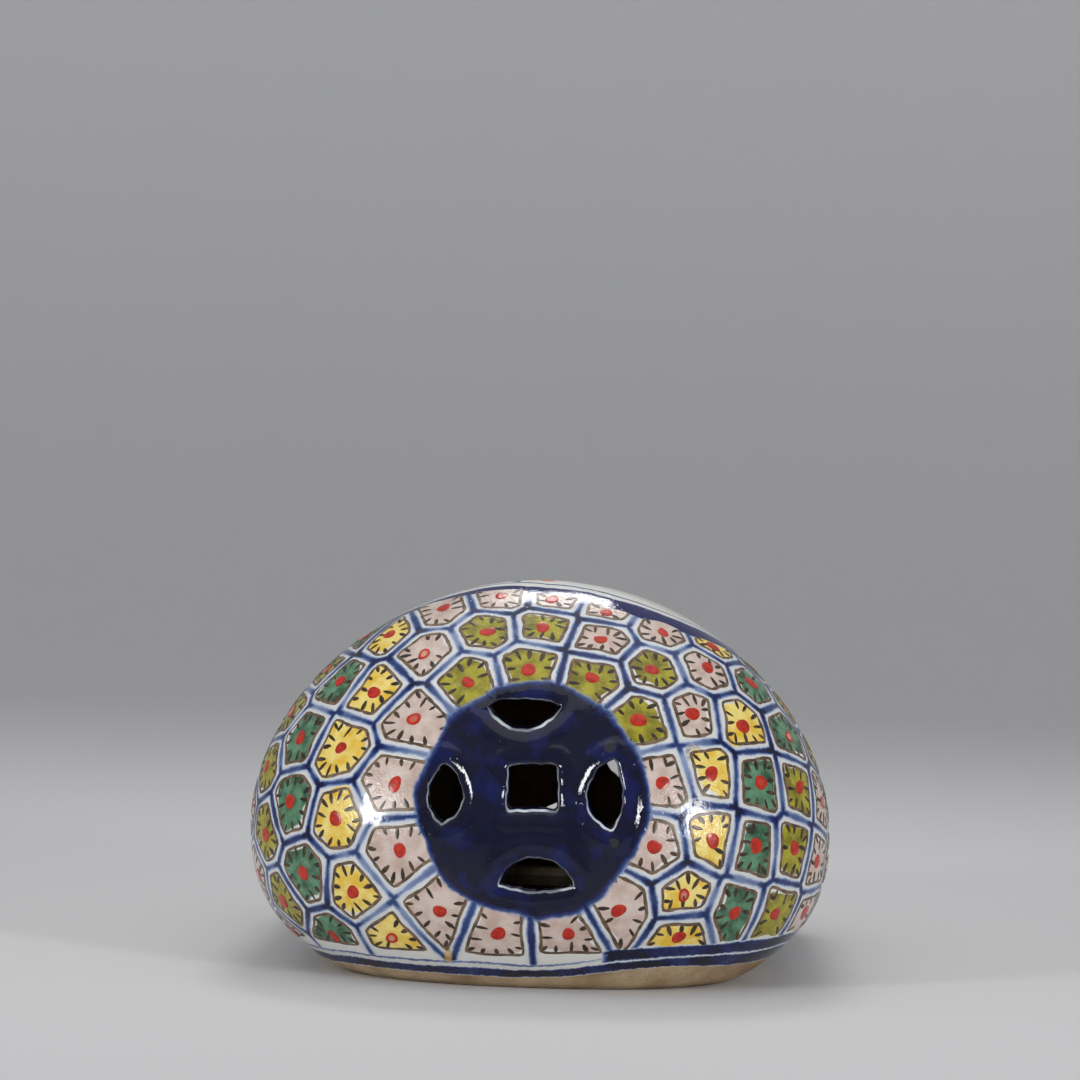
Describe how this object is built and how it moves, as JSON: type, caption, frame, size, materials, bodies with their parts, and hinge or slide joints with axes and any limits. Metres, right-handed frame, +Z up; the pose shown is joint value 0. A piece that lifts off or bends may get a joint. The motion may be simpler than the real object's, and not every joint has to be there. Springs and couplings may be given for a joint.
{
  "type": "ceramic pillow",
  "caption": "Hollow glazed ceramic pillow with a rounded body, a saddle-shaped headrest and pierced cash-coin medallions in its domed ends, standing on a flat foot.",
  "frame": {"origin": "middle of the flat foot, on the table plane", "axes": "+Z up, +Y along the pillow away from the pictured end, +X to the right in the picture"},
  "size_m": [0.175, 0.24, 0.1177],
  "materials": {
    "painted_glaze": "gloss",
    "white_glaze": "gloss",
    "cobalt_glaze": "gloss",
    "biscuit": "matte",
    "luting_clay": "matte"
  },
  "bodies": {
    "root": {"near_wall": "painted_glaze", "far_wall": "painted_glaze", "headrest": "white_glaze", "base_slab": "biscuit", "near_coin": "cobalt_glaze", "far_coin": "cobalt_glaze", "headrest_coil": "luting_clay", "base_coil": "luting_clay", "near_coin_coil": "luting_clay", "far_coin_coil": "luting_clay", "left_seam_coil": "luting_clay", "right_seam_coil": "luting_clay"}
  },
  "joints": []
}
